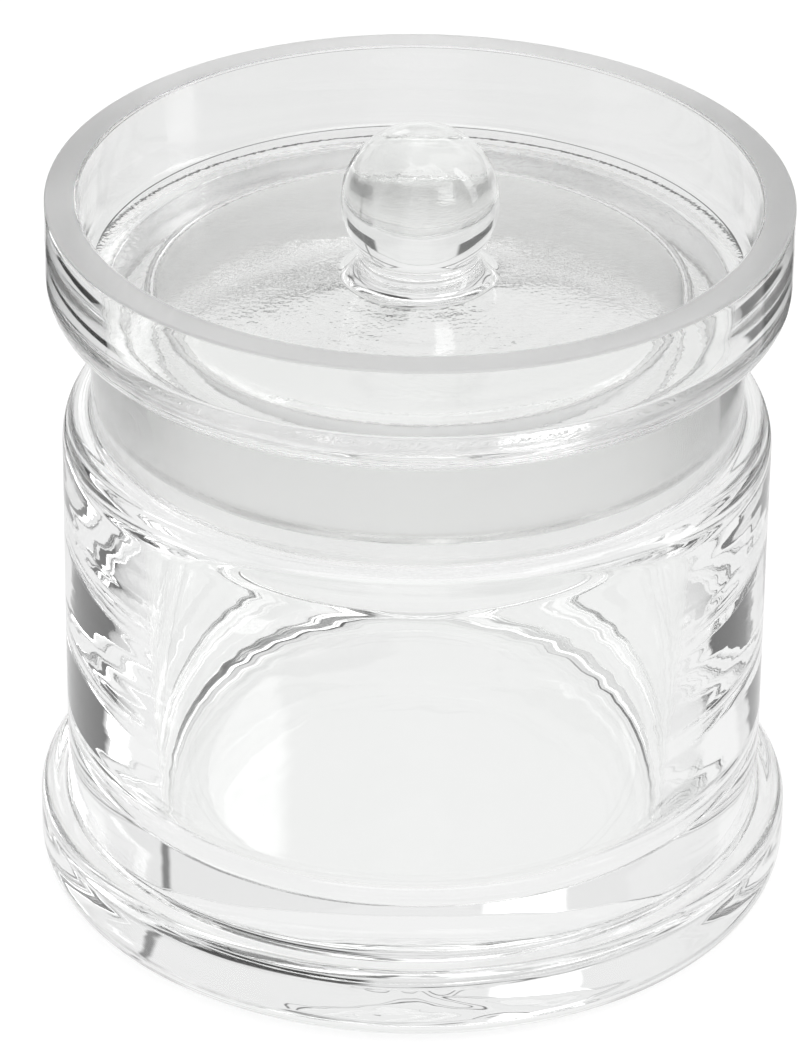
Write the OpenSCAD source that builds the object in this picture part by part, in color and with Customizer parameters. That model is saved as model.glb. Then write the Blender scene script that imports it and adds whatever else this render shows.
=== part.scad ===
// Glass cotton jar with a dished, knobbed stopper lid, in millimetres.
// The jar stands on z = 0 with its axis along Z, and the lid is seated in its neck.
// Each of the two pieces is one turned section, drawn as radius and height.

/* [Body] */
// Outer diameter of the straight body
body_d = 96.4; // [86:0.2:106]
// Height of the jar's mouth above the table
mouth_z = 84.8; // [74:0.2:96]
// How much the inside's radius narrows from under the ground bore down to the floor
wall_draft = 3.2; // [0.6:0.2:4.4]
// Thickness of the jar's floor
floor_t = 12.6; // [8:0.2:15]
// Radius inside, where the wall meets the floor
floor_fillet = 8.5; // [2:0.5:10]

/* [Foot] */
// How far the foot stands out past the body
foot_out = 4; // [2.6:0.1:6]
// Height of the foot's upper face
foot_h = 11.2; // [8:0.2:16]
// Radius of the foot's upper edge
foot_top_r = 2.4; // [0.5:0.1:3.2]
// Radius of the foot's lower edge
foot_low_r = 4; // [0.5:0.1:5]
// Radius of the hollow corner between foot and body
foot_fillet = 1; // [0.3:0.1:1.4]

/* [Neck] */
// How far the neck stands in from the body
neck_in = 4; // [2.6:0.1:5]
// Height of the upright neck, from the shoulder to the mouth
neck_h = 15.2; // [11:0.2:20]
// Height of the rounded shoulder
shoulder_h = 4.5; // [3:0.5:9]
// Radius of the hollow corner between shoulder and neck
neck_fillet = 1.3; // [0.3:0.1:1.8]
// Wall of the neck at the mouth
neck_wall = 2.6; // [2.2:0.1:4]
// Radius of the rounded lip, inside and outside
lip_r = 0.7; // [0.2:0.1:1]
// Depth of the ground bore
bore_depth = 17.8; // [15.6:0.2:20]
// How much the ground bore's radius narrows over its depth
bore_taper = 0.7; // [0.2:0.1:1.2]
// Ledge at the lower end of the ground bore
bore_step = 0.3; // [0.1:0.1:0.8]

/* [Lid rim] */
// How far the lid's rim stands out past the body
rim_out = 1.8; // [0.5:0.1:4]
// Height of the ground rim above the jar's mouth
rim_h = 16.6; // [13:0.2:24]
// Width of the ground band on the rim
rim_w = 4.4; // [3:0.1:5.4]
// Radius of the rounded lower edge of the rim
rim_corner = 5.6; // [3:0.2:7]
// Radius of the fine edges of the ground band
rim_edge = 0.4; // [0.1:0.1:0.8]
// How much the dish narrows from the rim down to its floor
dish_draft = 0.8; // [0:0.1:1.4]
// Radius inside, where the rim meets the dish's floor
dish_fillet = 0.8; // [0.4:0.1:3]
// Thickness of the dish's floor
dish_t = 4.8; // [3.5:0.1:7]

/* [Lid plug] */
// Length of the ground plug under the mouth
plug_depth = 13.4; // [8:0.2:15.4]
// Clearance between the ground plug and the ground bore, on the radius
plug_gap = 0.15; // [0.05:0.05:0.4]
// Wall of the hollow plug
plug_wall = 4.6; // [3:0.1:7]
// Radius of the plug's rounded lower end
plug_end_r = 0.6; // [0.3:0.1:1.4]
// Radius inside, where the hollow plug meets the dish
plug_fillet = 2; // [0.5:0.1:4]

/* [Knob] */
// Diameter of the ball knob
knob_d = 21.2; // [15:0.2:27]
// Height of the ball's centre above the dish's floor
knob_lift = 10.7; // [8.7:0.2:14.7]
// Radius of the hollow corner between ball and dish
knob_fillet = 2.8; // [1:0.2:4]

/* [Hidden] */
$fn = 128;
arc_steps = 12;
ball_steps = 32;
jar_colour = [0.93, 0.95, 0.95, 0.5];
lid_colour = [0.88, 0.90, 0.90, 0.6];

// Radii of the jar
body_r = body_d / 2;
foot_r = body_r + foot_out;
neck_r = body_r - neck_in;
bore_r = neck_r - neck_wall;
bore_low_r = bore_r - bore_taper;
inside_r = bore_low_r - bore_step;
inside_low_r = inside_r - wall_draft;

// Heights of the jar
shoulder_z = mouth_z - neck_h;
bore_low_z = mouth_z - bore_depth;

// Radii of the lid
rim_r = body_r + rim_out;
rim_in_r = rim_r - rim_w;
dish_r = rim_in_r - dish_draft;
plug_r = bore_r - plug_gap;
plug_low_r = plug_r - bore_taper * plug_depth / bore_depth;
hollow_r = plug_r - plug_wall;

// Heights of the lid
rim_z = mouth_z + rim_h;
dish_z = mouth_z + dish_t;
plug_low_z = mouth_z - plug_depth;

// Roundings that are held within the glass that carries them
foot_top = min(foot_top_r, foot_out - foot_fillet);
plug_end = min(plug_end_r, (plug_low_r - hollow_r) / 2);

// The ball knob and the hollow corner that it stands in, which touches both ball and floor
knob_r = knob_d / 2;
knob_z = dish_z + knob_lift;
knob_foot_r = sqrt(pow(knob_r + knob_fillet, 2) - pow(knob_lift - knob_fillet, 2));
knob_turn = atan2(knob_fillet - knob_lift, knob_foot_r);

// Points along a round stretch with centre (r, z) and half axes (a, b), from angle t0 to t1
function arc(r, z, a, b, t0, t1, steps = arc_steps) =
    [for (i = [0 : steps])
        let (t = t0 + (t1 - t0) * i / steps)
        [r + a * cos(t), z + b * sin(t)]];

// A rounded corner of one radius, centred at (r, z)
function corner(r, z, radius, t0, t1) = arc(r, z, radius, radius, t0, t1);

// Foot, from the axis outwards and up to the body
function foot_line() = concat(
    [[0, 0]],
    corner(foot_r - foot_low_r, foot_low_r, foot_low_r, -90, 0),
    corner(foot_r - foot_top, foot_h - foot_top, foot_top, 0, 90),
    corner(body_r + foot_fillet, foot_h + foot_fillet, foot_fillet, -90, -180));

// Shoulder, neck and lip, outside
function neck_line() = concat(
    arc(neck_r + neck_fillet, shoulder_z - shoulder_h, neck_in - neck_fillet, shoulder_h, 0, 90),
    corner(neck_r + neck_fillet, shoulder_z + neck_fillet, neck_fillet, -90, -180),
    corner(neck_r - lip_r, mouth_z - lip_r, lip_r, 0, 90));

// Ground bore, and the ledge under it where the core's own surface starts
function bore_line() = concat(
    corner(bore_r + lip_r, mouth_z - lip_r, lip_r, 90, 180),
    [[bore_low_r, bore_low_z]],
    corner(inside_r, bore_low_z - bore_step, bore_step, 90, 0));

// Inner floor, back to the axis
function floor_line() = concat(
    corner(inside_low_r - floor_fillet, floor_t + floor_fillet, floor_fillet, 0, -90),
    [[0, floor_t]]);

// Hollow plug, from the axis out and down, then up its ground outside to the mouth
function plug_line() = concat(
    [[0, mouth_z]],
    corner(hollow_r - plug_fillet, mouth_z - plug_fillet, plug_fillet, 90, 0),
    corner(hollow_r + plug_end, plug_low_z + plug_end, plug_end, 180, 270),
    corner(plug_low_r - plug_end, plug_low_z + plug_end, plug_end, -90, 0),
    [[plug_r, mouth_z]]);

// Rim, with its rounded lower edge and its ground band
function rim_line() = concat(
    corner(rim_r - rim_corner, mouth_z + rim_corner, rim_corner, -90, 0),
    corner(rim_r - rim_edge, rim_z - rim_edge, rim_edge, 0, 90),
    corner(rim_in_r + rim_edge, rim_z - rim_edge, rim_edge, 90, 180),
    corner(dish_r - dish_fillet, dish_z + dish_fillet, dish_fillet, 0, -90));

// Knob, from the dish's floor over the hollow corner to the top of the ball
function knob_line() = concat(
    corner(knob_foot_r, dish_z + knob_fillet, knob_fillet, 270, 180 + knob_turn),
    arc(0, knob_z, knob_r, knob_r, knob_turn, 90, ball_steps));

// Jar: foot, body, shoulder and ground neck in one piece of glass
module jar() {
    color(jar_colour)
        rotate_extrude()
            polygon(concat(foot_line(), neck_line(), bore_line(), floor_line()));
}

// Lid: dish, ground plug and ball knob in one piece of glass
module lid() {
    color(lid_colour)
        rotate_extrude()
            polygon(concat(plug_line(), rim_line(), knob_line()));
}

jar();
lid();
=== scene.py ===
# %% [markdown]
# The glass cotton jar is two pieces of pressed glass: a jar with a flared foot and a ground neck, and a
# lid that is a dish with a ball knob above and a ground, hollow plug below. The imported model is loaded
# first and stays the frame for everything: it gives the sizes, and every mesh made here sits inside it.

# %% Load the frame
import math

import bpy
import numpy as np
from mathutils import Matrix, Vector


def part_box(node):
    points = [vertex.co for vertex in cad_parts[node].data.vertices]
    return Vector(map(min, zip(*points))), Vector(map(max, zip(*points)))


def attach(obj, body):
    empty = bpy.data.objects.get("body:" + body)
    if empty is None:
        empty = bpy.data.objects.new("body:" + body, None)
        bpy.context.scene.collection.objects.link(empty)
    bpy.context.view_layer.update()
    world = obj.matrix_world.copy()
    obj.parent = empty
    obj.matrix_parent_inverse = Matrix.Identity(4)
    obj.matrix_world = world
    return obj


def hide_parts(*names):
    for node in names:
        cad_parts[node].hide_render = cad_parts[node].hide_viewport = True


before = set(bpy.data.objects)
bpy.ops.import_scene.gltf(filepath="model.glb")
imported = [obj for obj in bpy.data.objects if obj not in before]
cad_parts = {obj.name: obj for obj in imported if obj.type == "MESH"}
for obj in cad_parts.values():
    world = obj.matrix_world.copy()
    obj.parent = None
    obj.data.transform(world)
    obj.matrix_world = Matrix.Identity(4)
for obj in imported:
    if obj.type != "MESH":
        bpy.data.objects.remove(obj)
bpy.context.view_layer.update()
MM = 0.001

# %% [markdown]
# The outer sizes come from the two nodes' boxes. The thicknesses and small radii inside can't be read
# from a box, so they are named here in millimetres, as the glass was designed: a wall that gets thicker
# downwards because the mould's core has draft, a thick floor, and a lid with the same wall all over.

# %% Sizes of the jar and the lid
jar_low, jar_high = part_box("jar")
lid_low, lid_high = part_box("lid")
FOOT_R = jar_high[0] / MM
MOUTH_Z = jar_high[2] / MM
RIM_R = lid_high[0] / MM
KNOB_TOP_Z = lid_high[2] / MM
PLUG_END_Z = lid_low[2] / MM

FOOT_OUT, FOOT_H = 4.0, 11.2
FOOT_TOP_R, FOOT_LOW_R, FOOT_FILLET = 2.4, 4.0, 1.0
BODY_R = FOOT_R - FOOT_OUT
FLOOR_T, FLOOR_FILLET = 12.6, 8.5
NECK_IN, NECK_H, NECK_FILLET, NECK_WALL = 4.0, 15.2, 1.3, 2.6
SHOULDER_H = 4.5
LIP_R = 0.7
BORE_DEPTH, BORE_TAPER, BORE_STEP = 17.8, 0.7, 0.3
WALL_DRAFT = 3.2
RIM_W, RIM_CORNER, RIM_EDGE = 4.4, 5.6, 0.4
RIM_H = 16.6
DISH_T, DISH_DRAFT, DISH_FILLET = 4.8, 0.8, 0.8
PLUG_GAP, PLUG_WALL, PLUG_END_R, PLUG_FILLET = 0.15, 4.6, 0.6, 2.0
KNOB_R, KNOB_FILLET = 10.6, 2.8
LIP_CLEAR = 0.03
print(f"foot radius {FOOT_R:.1f}, mouth {MOUTH_Z:.1f}, rim radius {RIM_R:.1f}, knob top {KNOB_TOP_Z:.1f}")

# %% [markdown]
# Both pieces are bodies of revolution, so each is one section line turned round Z. The line is built
# from round stretches and straight ones. Each stretch also says how its glass was finished: fire-polished,
# ground where the grinding wheel touched the neck, the plug and the rim's top, or left with the fine
# orange-peel skin of a cooler mould, as on the dish's floor.

# %% Stretches of a section line
POLISHED, GROUND, SKIN, LAPPED = 0, 1, 2, 3
STEP, STEP_DEGREES = 0.72, 7.5
SAME_POINT = 1e-4


def bend(r, z, a, b, start, end, finish=POLISHED):
    """A round stretch: centre (r, z), half axes a and b, from one angle to another in degrees.
    Points are (r + a cos t, z + b sin t, finish)."""
    length = abs(math.radians(end - start)) * (a + b) / 2
    count = max(int(length / STEP), int(abs(end - start) / STEP_DEGREES)) + 1
    t = np.radians(np.linspace(start, end, count))
    return np.stack([r + a * np.cos(t), z + b * np.sin(t), np.full(count, finish)], axis=1)


def corner(r, z, radius, start, end, finish=POLISHED):
    """A bend with one radius."""
    return bend(r, z, radius, radius, start, end, finish)


def point(r, z, finish=POLISHED):
    """A single point of the line."""
    return np.array([[r, z, finish]], dtype=float)


def section(*stretches):
    """Joins the stretches, drops repeated points, and fills the straight gaps between them with points
    about STEP apart. A filled gap takes the finish of the point at its start."""
    line = np.concatenate(stretches)
    keep = np.r_[True, np.hypot(*np.diff(line[:, :2], axis=0).T) > SAME_POINT]
    line = line[keep]
    parts = []
    for here, there in zip(line[:-1], line[1:]):
        count = max(int(math.dist(here[:2], there[:2]) / STEP), 1)
        share = np.linspace(0, 1, count, endpoint=False)[:, None]
        filled = here + (there - here) * share
        filled[:, 2] = here[2]
        parts.append(filled)
    parts.append(line[-1:])
    return np.concatenate(parts)


# %% [markdown]
# The jar's line starts under the foot on the axis, goes out and up the outside to the lip, down the
# ground bore and the inner wall, and back to the axis over the inner floor. A finish starts and ends
# five hundredths of a millimetre from a corner, so that the corner itself keeps the polish.

# %% Section of the jar
neck_r = BODY_R - NECK_IN
bore_r = neck_r - NECK_WALL
bore_low_r = bore_r - BORE_TAPER
inside_r = bore_low_r - BORE_STEP
inside_low_r = inside_r - WALL_DRAFT
shoulder_z = MOUTH_Z - NECK_H
bore_low_z = MOUTH_Z - BORE_DEPTH
lip_z = MOUTH_Z - LIP_CLEAR
EDGE = 0.05

jar_line = section(
    point(0, 0),
    corner(FOOT_R - FOOT_LOW_R, FOOT_LOW_R, FOOT_LOW_R, -90, 0),
    corner(FOOT_R - FOOT_TOP_R, FOOT_H - FOOT_TOP_R, FOOT_TOP_R, 0, 90),
    corner(BODY_R + FOOT_FILLET, FOOT_H + FOOT_FILLET, FOOT_FILLET, -90, -180),
    bend(neck_r + NECK_FILLET, shoulder_z - SHOULDER_H, NECK_IN - NECK_FILLET, SHOULDER_H, 0, 90),
    corner(neck_r + NECK_FILLET, shoulder_z + NECK_FILLET, NECK_FILLET, -90, -180),
    corner(neck_r - LIP_R, lip_z - LIP_R, LIP_R, 0, 90),
    corner(bore_r + LIP_R, lip_z - LIP_R, LIP_R, 90, 180),
    point(bore_r, lip_z - LIP_R - EDGE, GROUND),
    point(bore_low_r, bore_low_z + EDGE, GROUND),
    point(bore_low_r, bore_low_z),
    corner(inside_r, bore_low_z - BORE_STEP, BORE_STEP, 90, 0),
    corner(inside_low_r - FLOOR_FILLET, FLOOR_T + FLOOR_FILLET, FLOOR_FILLET, 0, -90),
    point(0, FLOOR_T),
)
print("jar section:", len(jar_line), "points")

# %% [markdown]
# The lid's line starts under the dish on the axis, goes down the hollow inside of the plug, up its ground
# outside, round the rim's rounded lower edge and over the ground band, and ends on top of the ball. The
# hollow corner under the ball touches both the ball and the dish, which fixes where its centre lies.

# %% Section of the lid
rim_z = MOUTH_Z + RIM_H
rim_in_r = RIM_R - RIM_W
dish_r = rim_in_r - DISH_DRAFT
dish_z = MOUTH_Z + DISH_T
plug_r = bore_r - PLUG_GAP
plug_slope = BORE_TAPER / BORE_DEPTH
plug_low_r = plug_r - plug_slope * (MOUTH_Z - PLUG_END_Z)
hollow_r = plug_r - PLUG_WALL
knob_z = KNOB_TOP_Z - KNOB_R
knob_drop = knob_z - dish_z - KNOB_FILLET
knob_foot_r = math.sqrt((KNOB_R + KNOB_FILLET) ** 2 - knob_drop ** 2)
knob_turn = -math.degrees(math.atan2(knob_drop, knob_foot_r))

lid_line = section(
    point(0, MOUTH_Z),
    corner(hollow_r - PLUG_FILLET, MOUTH_Z - PLUG_FILLET, PLUG_FILLET, 90, 0),
    corner(hollow_r + PLUG_END_R, PLUG_END_Z + PLUG_END_R, PLUG_END_R, 180, 270),
    corner(plug_low_r - PLUG_END_R, PLUG_END_Z + PLUG_END_R, PLUG_END_R, -90, 0),
    point(plug_low_r + EDGE * plug_slope, PLUG_END_Z + PLUG_END_R + EDGE, GROUND),
    point(plug_r, MOUTH_Z - EDGE, GROUND),
    point(plug_r, MOUTH_Z),
    corner(RIM_R - RIM_CORNER, MOUTH_Z + RIM_CORNER, RIM_CORNER, -90, 0),
    corner(RIM_R - RIM_EDGE, rim_z - RIM_EDGE, RIM_EDGE, 0, 90, LAPPED),
    corner(rim_in_r + RIM_EDGE, rim_z - RIM_EDGE, RIM_EDGE, 90, 180),
    corner(dish_r - DISH_FILLET, dish_z + DISH_FILLET, DISH_FILLET, 0, -90),
    point(dish_r - DISH_FILLET - 2 * EDGE, dish_z, SKIN),
    corner(knob_foot_r, dish_z + KNOB_FILLET, KNOB_FILLET, 270, 180 + knob_turn),
    corner(0, knob_z, KNOB_R, knob_turn, 90),
)
print("lid section:", len(lid_line), "points")

# %% [markdown]
# Pressed and fire-polished glass is never quite true. Its skin swells and sinks by a few hundredths of a
# millimetre over a centimetre or two, and finer by a hundredth over a few millimetres, and that is what
# bends the lines seen through it. A bump map would bend only the shading, so the waves are in the mesh:
# a sum of cosines round the axis and along the section, pushed along the surface's normal. They fade to
# nothing at ground faces, on the axis, and at the places that fix the object's box.

# %% Waves in the glass
WAVE_COUNT = 14


def waves(angle, along, seed, turns, pitch_mm):
    """Sum of products cos(m angle + p) cos(2 pi along / pitch + q) with seeded m, pitch, p and q,
    divided so that its usual height is 1."""
    draw = np.random.default_rng(seed)
    total = np.zeros(np.broadcast(angle, along).shape)
    for _ in range(WAVE_COUNT):
        m = draw.integers(turns[0], turns[1] + 1)
        pitch = draw.uniform(*pitch_mm)
        p, q = draw.uniform(0, 2 * math.pi, 2)
        total += np.cos(m * angle + p) * np.cos(2 * math.pi * along / pitch + q)
    return total / math.sqrt(WAVE_COUNT / 4)


def rise(value, low, high):
    """Smooth step: 0 below low, 1 above high, 3 t^2 - 2 t^3 between them."""
    t = np.clip((value - low) / (high - low), 0, 1)
    return t * t * (3 - 2 * t)


def calm_near(line, places, reach):
    """0 at the named (r, z) places and 1 further than reach mm away from them."""
    gap = np.min([np.hypot(line[:, 0] - r, line[:, 1] - z) for r, z in places], axis=0)
    return rise(gap, 0, reach)


print("each layer of waves is a sum of", WAVE_COUNT, "products")


# %% [markdown]
# Turning the line is one array product: every point of the line, for every angle. The waves push each
# point along the normal of the line, so a straight wall bulges outwards and a floor rises.

# %% Points of a turned section
SIDES = 236
AXIS_CALM = 12.0
# Lowest and highest number of waves round the axis, and range of pitch along the section in mm
SWELLS = (2, 6), (45, 120)
RIPPLES = (3, 12), (14, 34)
RINGS, RING_SHARE = ((0, 3), (2.6, 5.0)), 0.6


def turned_points(line, seed, swell, ripple):
    """Surface of revolution of line: x = r cos a, y = r sin a, z = z, moved along its normal by the long
    waves times swell plus the short waves and faint turning rings times ripple, in mm. The first and
    last points of the line lie on the axis and come once each, at the end."""
    r, z = line[:, 0], line[:, 1]
    tangent = np.gradient(line[:, :2], axis=0)
    tangent /= np.linalg.norm(tangent, axis=1, keepdims=True)
    along = np.r_[0, np.cumsum(np.hypot(np.diff(r), np.diff(z)))][:, None]
    angle = np.linspace(0, 2 * math.pi, SIDES, endpoint=False)[None, :]
    off_axis = rise(r, 0, AXIS_CALM)
    push = (swell * off_axis)[:, None] * waves(angle, along, seed, *SWELLS)
    push += (ripple * off_axis)[:, None] * waves(angle, along, seed + 1, *RIPPLES)
    push += (RING_SHARE * ripple * off_axis)[:, None] * waves(angle, along, seed + 2, *RINGS)
    ring_r = r[:, None] + push * tangent[:, 1:2]
    ring_z = z[:, None] - push * tangent[:, 0:1]
    rows = slice(1, -1)
    grid = np.stack([ring_r[rows] * np.cos(angle), ring_r[rows] * np.sin(angle), ring_z[rows]], axis=-1)
    ends = np.array([[0, 0, z[0]], [0, 0, z[-1]]])
    return np.concatenate([grid.reshape(-1, 3), ends]) * MM


print("each ring has", SIDES, "points")

# %% [markdown]
# Between two rings lie quads, and at each end a fan of triangles closes the skin round the point on the
# axis, so the glass is one watertight surface with its faces outwards. A face's finish is that of the
# line's point at its start, and picks its material.

# %% Skin over the points
def turned_faces(rings):
    """Quads between rings k and k + 1, then a fan round the first end and a fan round the last."""
    low = np.arange(rings - 1)[:, None] * SIDES
    here = np.arange(SIDES)[None, :]
    ahead = (here + 1) % SIDES
    quads = np.stack([low + here, low + ahead, low + SIDES + ahead, low + SIDES + here], axis=-1)
    first, last, top = rings * SIDES, rings * SIDES + 1, (rings - 1) * SIDES
    fan_in = np.stack([np.full(SIDES, first), ahead[0], here[0]], axis=-1)
    fan_out = np.stack([np.full(SIDES, last), top + here[0], top + ahead[0]], axis=-1)
    return quads.reshape(-1, 4).tolist() + fan_in.tolist() + fan_out.tolist()


def turned(name, line, seed, swell, ripple):
    """Makes the piece of glass from its section, its waves and its finishes."""
    points = turned_points(line, seed, swell, ripple)
    mesh = bpy.data.meshes.new(name)
    mesh.from_pydata(points.tolist(), [], turned_faces(len(line) - 2))
    kinds = np.repeat(line[1:-2, 2].astype(np.int32), SIDES)
    kinds = np.r_[kinds, np.full(2 * SIDES, POLISHED, dtype=np.int32)]
    mesh.polygons.foreach_set("material_index", kinds)
    mesh.polygons.foreach_set("use_smooth", np.ones(len(kinds), dtype=bool))
    mesh.update()
    piece = bpy.data.objects.new(name, mesh)
    bpy.context.scene.collection.objects.link(piece)
    print(name, "has", len(mesh.loops) - 2 * len(mesh.polygons), "triangles")
    return piece


# %% [markdown]
# The jar's outside was fire-polished against air and is nearly true. Its inside took the shape of the
# press's plunger and shrank a little as it cooled, so it carries the deeper waves that the legs and the
# front of the floor show in the photograph.

# %% The jar
jar_outer_face = (jar_line[:, 0] > BODY_R + FOOT_FILLET / 2) & (jar_line[:, 1] < FOOT_H + 2 * EDGE)
jar_underside = jar_line[:, 1] < FOOT_LOW_R
jar_inside = np.arange(len(jar_line)) > np.argmax(jar_line[:, 1])
JAR_CALM, FACE_INSET, JAR_SEED = 9, 0.06, 77
INSIDE_SWELL, OUTSIDE_SWELL = 0.04, 0.018
INSIDE_RIPPLE, OUTSIDE_RIPPLE = 0.0035, 0.0025
jar_free = calm_near(jar_line, [(neck_r, MOUTH_Z), (bore_r, MOUTH_Z), (bore_low_r, bore_low_z)], JAR_CALM)
jar_free *= (jar_line[:, 2] == POLISHED) & ~jar_underside
jar_line[jar_outer_face, 0] -= FACE_INSET
jar_swell = jar_free * np.where(jar_inside, INSIDE_SWELL, OUTSIDE_SWELL)
jar_ripple = jar_free * np.where(jar_inside, INSIDE_RIPPLE, OUTSIDE_RIPPLE)
jar = turned("pressed_jar", jar_line, JAR_SEED, jar_swell, jar_ripple)

# %% [markdown]
# The lid is thicker and smaller, and its waves are shallower. The rim's ground top, the ground plug and
# the rim's outer face stay true, because the lid has to seat and because that face fixes the box.

# %% The lid
LID_CALM, FACE_BAND, LID_SEED = 8, 0.05, 84
LID_SWELL, LID_RIPPLE = 0.025, 0.006
lid_outer_face = lid_line[:, 0] > RIM_R - FACE_BAND
lid_free = calm_near(lid_line, [(plug_r, MOUTH_Z), (RIM_R, rim_z), (hollow_r, PLUG_END_Z)], LID_CALM)
lid_free *= ~np.isin(lid_line[:, 2], (GROUND, LAPPED)) & ~lid_outer_face
lid = turned("pressed_lid", lid_line, LID_SEED, lid_free * LID_SWELL, lid_free * LID_RIPPLE)

# %% [markdown]
# Every colour is written as the sRGB value that a paint chart gives, and one function turns it to linear
# light. One small function adds a node with its settings and links, so a material reads as a list.

# %% Colour and node helpers
def linear(hex_colour):
    """sRGB hex to linear RGB and alpha: c / 12.92 below 0.04045, else ((c + 0.055) / 1.055) ^ 2.4."""
    parts = [int(hex_colour[i:i + 2], 16) / 255 for i in (1, 3, 5)]
    return [c / 12.92 if c <= 0.04045 else ((c + 0.055) / 1.055) ** 2.4 for c in parts] + [1.0]


def add(tree, kind, settings):
    """Adds a node of one kind. A setting names an input, by its name or number, or an attribute of the
    node. Where its value is another node's output the two are linked, and otherwise it is set."""
    node = tree.nodes.new(kind)
    for key, value in settings.items():
        if isinstance(value, bpy.types.NodeSocket):
            tree.links.new(value, node.inputs[key])
        elif isinstance(key, int) or key in node.inputs:
            node.inputs[key].default_value = value
        else:
            setattr(node, key, value)
    return node


# %% [markdown]
# All four finishes are the same soda-lime glass, with an index of 1.52, and differ in what was done to
# the surface. So one function starts a finish, and its own cell adds the detail. The index, roughness
# and transmission are the same all over a finish, and are set straight on the surface's sockets.

# %% Start of a glass finish
GLASS_IOR = 1.52
MIX_A, MIX_B, MIXED = 6, 7, 2


def glass(name, roughness, transmission):
    """Makes a material of clear glass and returns it, its tree, its surface and its coordinates."""
    material = bpy.data.materials.new(name)
    material.use_nodes = True
    tree = material.node_tree
    surface = tree.nodes["Principled BSDF"]
    surface.inputs["IOR"].default_value = GLASS_IOR
    surface.inputs["Roughness"].default_value = roughness
    surface.inputs["Transmission Weight"].default_value = transmission
    place = add(tree, "ShaderNodeTexCoord", {}).outputs["Object"]
    print("finish", name)
    return material, tree, surface, place


# %% [markdown]
# Soda-lime glass, pressed and then fire-polished: the flame melts the skin smooth, so it is perfectly
# clear and sharp-edged in its reflections, and colourless because decolouriser went into the melt. The
# tint wanders by less than a percent, where the batch wasn't fully mixed, in cords about 14 mm apart.
# Under the gloss lie flow marks a few microns deep, 5 mm apart, drawn as a faint bump.

# %% Fire-polished soda glass
CORD_MM, FLOW_MM, FLOW_DEPTH_MM = 14.0, 5.0, 0.006
polished, tree, surface, place = glass("fire_polished_soda_glass", 0.0, 1.0)
cords = add(tree, "ShaderNodeTexNoise", {"Vector": place, "Scale": 1 / (CORD_MM * MM), "Detail": 2.0})
tint = add(tree, "ShaderNodeMix", {"data_type": "RGBA", "Factor": cords.outputs["Fac"],
                                   MIX_A: linear("#FDFEFD"), MIX_B: linear("#FFFFFF")})
tree.links.new(tint.outputs[MIXED], surface.inputs["Base Color"])
flow = add(tree, "ShaderNodeTexNoise", {"Vector": place, "Scale": 1 / (FLOW_MM * MM), "Detail": 1.0})
skin = add(tree, "ShaderNodeBump", {"Height": flow.outputs["Fac"], "Distance": FLOW_DEPTH_MM * MM})
tree.links.new(skin.outputs["Normal"], surface.inputs["Normal"])

# %% [markdown]
# The dish's floor was pressed by a cooler part of the mould and wasn't reached by the flame. It has an
# orange-peel skin of shallow pits about 0.8 mm across and some hundredths of a millimetre deep, which
# ripples whatever is seen through it and sparkles towards the edges.

# %% Orange-peel soda glass
PIT_MM, PIT_DEPTH_MM = 0.8, 0.03
orange_peel, tree, surface, place = glass("orange_peel_soda_glass", 0.0, 1.0)
pits = add(tree, "ShaderNodeTexNoise", {"Vector": place, "Scale": 1 / (PIT_MM * MM),
                                        "Detail": 2.0, "Roughness": 0.45})
tint = add(tree, "ShaderNodeMix", {"data_type": "RGBA", "Factor": pits.outputs["Fac"],
                                   MIX_A: linear("#FDFDFC"), MIX_B: linear("#FFFFFF")})
tree.links.new(tint.outputs[MIXED], surface.inputs["Base Color"])
skin = add(tree, "ShaderNodeBump", {"Height": pits.outputs["Fac"], "Distance": PIT_DEPTH_MM * MM})
tree.links.new(skin.outputs["Normal"], surface.inputs["Normal"])

# %% [markdown]
# Where the lid seats in the neck, the two faces were ground in with wet grit. The grit left a field of
# chipped pits 0.05 mm across, which spread the light as frosting does: most of it goes through, widely
# scattered, and part comes straight back, so the face looks pale and even. The rim's top was lapped flat
# with coarser grit and looks more opaque. Pits that fine don't show at this size, so they are drawn
# 0.25 mm across.

# %% Ground and lapped soda glass
GRAIN_MM, GRAIN_DEPTH_MM, GRAIN_STRENGTH = 0.25, 0.03, 0.6


def grind(name, roughness, transmission):
    """Makes a ground finish: scattering glass whose tint and bump follow one field of fine grain."""
    material, tree, surface, place = glass(name, roughness, transmission)
    grain = add(tree, "ShaderNodeTexNoise", {"Vector": place, "Scale": 1 / (GRAIN_MM * MM), "Detail": 3.0})
    tint = add(tree, "ShaderNodeMix", {"data_type": "RGBA", "Factor": grain.outputs["Fac"],
                                       MIX_A: linear("#FBFBFA"), MIX_B: linear("#FFFFFF")})
    tree.links.new(tint.outputs[MIXED], surface.inputs["Base Color"])
    frost = add(tree, "ShaderNodeBump", {"Height": grain.outputs["Fac"], "Strength": GRAIN_STRENGTH,
                                         "Distance": GRAIN_DEPTH_MM * MM})
    tree.links.new(frost.outputs["Normal"], surface.inputs["Normal"])
    return material


ground = grind("ground_in_soda_glass", 0.25, 0.96)
lapped = grind("lapped_soda_glass", 0.60, 0.70)

# %% [markdown]
# The materials go on in the order of the finish numbers in the section lines. Each piece rides on the
# model's one body and stands for its node.

# %% Dress the two pieces
for piece, node, slot in ((jar, "jar", "jar_glass"), (lid, "lid", "lid_glass")):
    for material in (polished, ground, orange_peel, lapped):
        piece.data.materials.append(material)
    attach(piece, "root")
    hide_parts(node)
    print(piece.name, "stands for", node)
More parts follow.
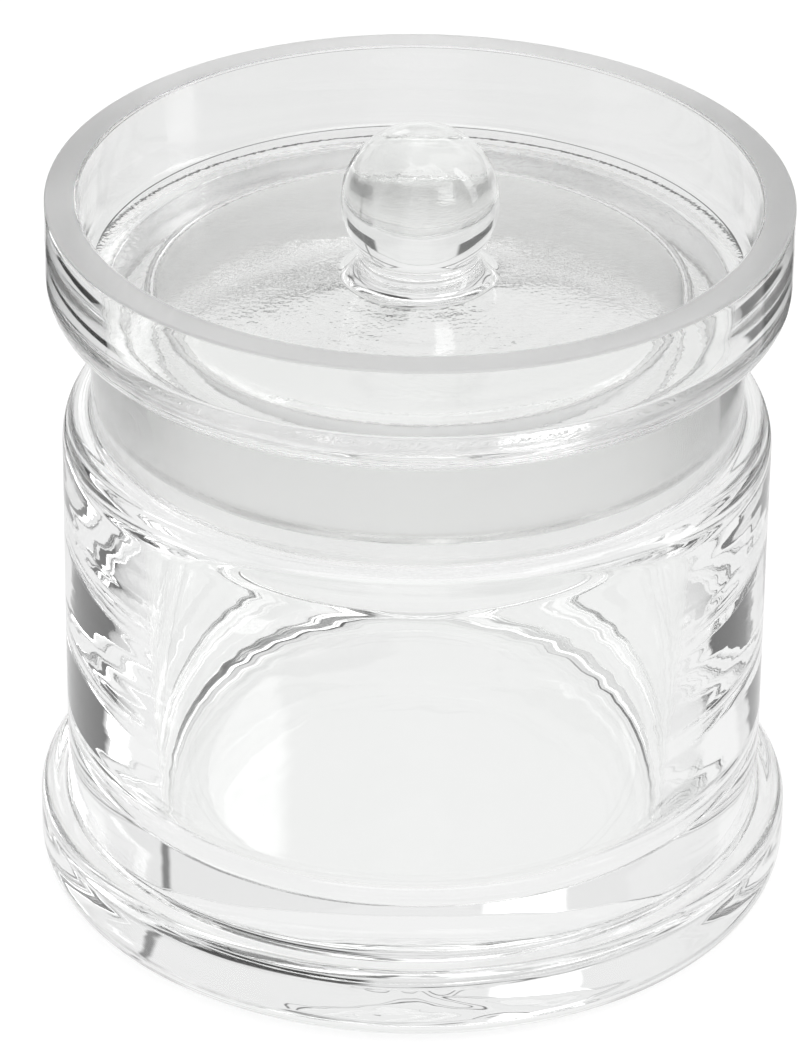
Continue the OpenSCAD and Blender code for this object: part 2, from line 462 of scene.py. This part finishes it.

# %% [markdown]
# Clear glass has hardly any colour of its own: it is drawn by what lies behind it. In a studio it stands
# on lit white paper, with darker cards on both sides of it that the camera doesn't see, and the glass
# bends their edges into the thin dark lines that show its form. Here the floor is one sheet. The camera
# sees it white, with the jar's faint shadow. Rays that come through the glass see a painted glow instead
# of lit paper: painted light, a little brighter near the jar, with darker patches painted on it for the
# cards and a thin dark strip painted behind the jar.

# %% Floor
FLOOR_DROP_MM, FLOOR_HALF_M = 0.1, 3.0
corners = [(-1, -1), (1, -1), (1, 1), (-1, 1)]
floor_mesh = bpy.data.meshes.new("floor")
floor_mesh.from_pydata([(x * FLOOR_HALF_M, y * FLOOR_HALF_M, -FLOOR_DROP_MM * MM) for x, y in corners],
                       [], [(0, 1, 2, 3)])
floor = bpy.data.objects.new("floor", floor_mesh)
bpy.context.scene.collection.objects.link(floor)
print("floor", 2 * FLOOR_HALF_M, "m square")

# %% [markdown]
# Paper and room are both one level of light with patches laid over it, so one function lays a patch. It
# multiplies four smooth steps, one for each edge, and blends to the patch's own level by that share.

# %% Patches of light and dark
DEGREE = 180 / math.pi
LEVEL_A, LEVEL_B = 2, 3


def patch(tree, level, measures, ends, softs, own_level):
    """level + share (own_level - level), where share is the product of smooth steps over soft on both
    sides of each end, rising at the low ends and falling at the high ones."""
    share = 1.0
    for measure, (low, high), soft in zip(measures, ends, softs):
        for end, before, after in ((low, 0.0, 1.0), (high, 1.0, 0.0)):
            edge = add(tree, "ShaderNodeMapRange", {
                "interpolation_type": "SMOOTHSTEP", "Value": measure, "From Min": end - soft,
                "From Max": end + soft, "To Min": before, "To Max": after})
            product = add(tree, "ShaderNodeMath", {"operation": "MULTIPLY", 0: edge.outputs[0], 1: share})
            share = product.outputs[0]
    blend = add(tree, "ShaderNodeMix", {"data_type": "FLOAT", "Factor": share, LEVEL_A: level,
                                        LEVEL_B: own_level})
    return blend.outputs[0]


def turn_of(tree, vector):
    """Turn of a vector round Z in degrees, 0 towards the back and positive to the right:
    arctan2(x, y)."""
    parts = add(tree, "ShaderNodeSeparateXYZ", {"Vector": vector})
    turn = add(tree, "ShaderNodeMath", {
        "operation": "ARCTAN2", 0: parts.outputs["X"], 1: parts.outputs["Y"]})
    degrees = add(tree, "ShaderNodeMath", {"operation": "MULTIPLY", 0: turn.outputs[0], 1: DEGREE})
    return degrees.outputs[0]


# %% [markdown]
# For rays through the glass the paper is only a glow, and its level is painted light: a painted pool of
# light, a little brighter close to the jar, as where the light would fall straight on it. Each card is a
# darker patch of that painted glow in bearing and distance, as a card laid on the table in an arc round
# the jar. What the camera sees is a glow plus a grey diffuse part, and that part goes dark under the jar,
# which is its shadow.

# %% White paper with cards on it
PAPER_NEAR, PAPER_FAR, PAPER_SEEN, SHADOW_GREY = 0.90, 0.84, 0.86, 0.25
NEAR_MM, FAR_MM = 80, 120
# West and east end in degrees, near and far end in mm, softness of both, and level of the painted glow
PAINTED_DARK_PATCHES = [
    (-82, -28, 178, 220, 2.0, 5.0, 0.03),
    (28, 62, 160, 250, 2.0, 5.0, 0.10),
    # A thin dark strip painted into the paper's glow behind the jar, 158 to 170 mm from its axis
    (-28, 28, 158, 170, 2.0, 2.0, 0.08),
]
paper = bpy.data.materials.new("white_paper_painted_glow")
paper.use_nodes = True
tree = paper.node_tree
tree.nodes.clear()
place = add(tree, "ShaderNodeTexCoord", {}).outputs["Object"]
length = add(tree, "ShaderNodeVectorMath", {"operation": "LENGTH", 0: place})
reach = add(tree, "ShaderNodeMath", {
    "operation": "MULTIPLY", 0: length.outputs["Value"], 1: 1 / MM}).outputs[0]
bearing = turn_of(tree, place)
level = add(tree, "ShaderNodeMapRange", {
    "interpolation_type": "SMOOTHSTEP", "Value": reach, "From Min": NEAR_MM, "From Max": FAR_MM,
    "To Min": PAPER_NEAR, "To Max": PAPER_FAR}).outputs[0]
for west, east, near, far, soft_turn, soft_reach, grey in PAINTED_DARK_PATCHES:
    level = patch(tree, level, (bearing, reach), ((west, east), (near, far)), (soft_turn, soft_reach), grey)
# Painted light: for rays through the glass the paper glows at this level, brighter near the jar, and no
# lamp lights it
painted_glow = add(tree, "ShaderNodeEmission", {"Strength": level})
seen = add(tree, "ShaderNodeEmission", {"Strength": PAPER_SEEN})
shade = add(tree, "ShaderNodeBsdfDiffuse", {"Color": (SHADOW_GREY, SHADOW_GREY, SHADOW_GREY, 1)})
seen_and_shade = add(tree, "ShaderNodeAddShader", {0: seen.outputs[0], 1: shade.outputs[0]})
path = add(tree, "ShaderNodeLightPath", {})
either = add(tree, "ShaderNodeMixShader", {
    "Fac": path.outputs["Is Camera Ray"], 1: painted_glow.outputs[0], 2: seen_and_shade.outputs[0]})
add(tree, "ShaderNodeOutputMaterial", {"Surface": either.outputs[0]})
floor_mesh.materials.append(paper)
print("paper with", len(PAINTED_DARK_PATCHES), "cards")

# %% [markdown]
# The rest of the studio is far away compared with the jar, so it is the world: a pale room, brighter
# behind the camera and at the sides, with dark gaps between the panels and two soft boxes. Each dark gap
# is a thin line somewhere in the glass. The camera sees plain white.

# %% World
ROOM = 0.82
# West and east end, bottom and top in degrees, softness and level, where a later patch covers an earlier
LIGHTS = [
    (-80, 80, -90, 60, 4, 0.84),
    (-70, 8, 46, 78, 3, 0.74),
    (8, 58, 40, 80, 2, 0.05),
    (112, 190, 46, 76, 2, 2.2),
    (-190, -112, 46, 76, 2, 2.2),
    (-128, -60, 4, 42, 2, 0.92),
    (-128, -58, 42, 74, 2, 0.48),
    (60, 98, 4, 52, 2, 0.95),
    (-165, -120, -2, 42, 2, 0.10),
    (100, 170, -2, 42, 2, 0.10),
    (-190, 190, 78, 95, 2, 0.06),
    (-74, 74, 20, 21.5, 0.7, 0.12),
    (-74, 74, 26.5, 27.7, 0.7, 0.12),
    (-74, 8, 43, 44.6, 0.7, 0.12),
    (-62, -24, -6, 8, 2, 0.12),
    (28, 62, -6, 8, 2, 0.12),
    (38, 40, -90, 40, 0.7, 0.20),
    (84, 97, 2, 46, 1, 4.0),
    (-21, -10, 22, 34, 1, 2.2),
]
world = bpy.data.worlds.new("studio")
bpy.context.scene.world = world
world.use_nodes = True
tree = world.node_tree
tree.nodes.clear()
way = add(tree, "ShaderNodeTexCoord", {}).outputs["Generated"]
azimuth = turn_of(tree, way)
parts = add(tree, "ShaderNodeSeparateXYZ", {"Vector": way})
lift = add(tree, "ShaderNodeMath", {"operation": "ARCSINE", 0: parts.outputs["Z"]})
height = add(tree, "ShaderNodeMath", {"operation": "MULTIPLY", 0: lift.outputs[0], 1: DEGREE}).outputs[0]
glow = ROOM
for west, east, bottom, top, soft, level in LIGHTS:
    glow = patch(tree, glow, (azimuth, height), ((west, east), (bottom, top)), (soft, soft), level)
room = add(tree, "ShaderNodeBackground", {"Strength": glow})
white = add(tree, "ShaderNodeBackground", {"Strength": 1.0})
for background in (room, white):
    background.inputs["Color"].default_value = linear("#FFFFFF")
path = add(tree, "ShaderNodeLightPath", {})
either = add(tree, "ShaderNodeMixShader", {
    "Fac": path.outputs["Is Camera Ray"], 1: room.outputs[0], 2: white.outputs[0]})
add(tree, "ShaderNodeOutputWorld", {"Surface": either.outputs[0]})
print("room with", len(LIGHTS), "patches")

# %% [markdown]
# The camera stands in front of the jar, 30 degrees up, 0.8 m away with a long lens. Its place and lens
# were found by fitting the rim's, the foot's and the knob's outlines to the photograph. It is rolled by
# two thirds of a degree, as the photograph is.

# %% Camera
DISTANCE, ELEVATION, ROLL = 0.8, 29.89, 0.68
FOCAL_PX, FRAME_LONG_PX = 5825, 1056
SENSOR_MM = 36
AIM_Z = 0.05
CLIP_NEAR, CLIP_FAR = 0.05, 20
SIDE_PX, DOWN_PX = 15.8, -0.1
elevation = math.radians(ELEVATION)
camera_data = bpy.data.cameras.new("camera")
camera_data.sensor_width = SENSOR_MM
camera_data.lens = FOCAL_PX * SENSOR_MM / FRAME_LONG_PX
camera_data.clip_start, camera_data.clip_end = CLIP_NEAR, CLIP_FAR
camera = bpy.data.objects.new("camera", camera_data)
bpy.context.scene.collection.objects.link(camera)
roll = Matrix.Rotation(math.radians(ROLL), 3, "Z").to_quaternion()
back_way = Vector((0, -math.cos(elevation), math.sin(elevation)))
turn = back_way.to_track_quat("Z", "Y") @ roll
pixel = DISTANCE / FOCAL_PX
camera.location = Vector((0, 0, AIM_Z)) + back_way * DISTANCE
aim = Vector((0, 0, AIM_Z)) + turn @ Vector((-SIDE_PX * pixel, DOWN_PX * pixel, 0))
look = (camera.location - aim).normalized()
camera.rotation_mode = "QUATERNION"
camera.rotation_quaternion = look.to_track_quat("Z", "Y") @ roll
bpy.context.scene.camera = camera
print("lens", round(camera_data.lens, 1), "mm, camera at", [round(v, 3) for v in camera.location])

# %% [markdown]
# The view transform is Standard, so a colour comes out as written. A ray that enters at the rim can pass
# a dozen glass faces before it leaves, so the bounce limits are raised: with too few, thick glass turns
# black inside.

# %% Render settings that belong to the picture
bpy.context.scene.view_settings.view_transform = "Standard"
GLASS_BOUNCES, GLOSSY_BOUNCES = 28, 16
cycles = bpy.context.scene.cycles
cycles.max_bounces = GLASS_BOUNCES
cycles.transmission_bounces = GLASS_BOUNCES
cycles.glossy_bounces = GLOSSY_BOUNCES
print("view transform", bpy.context.scene.view_settings.view_transform)
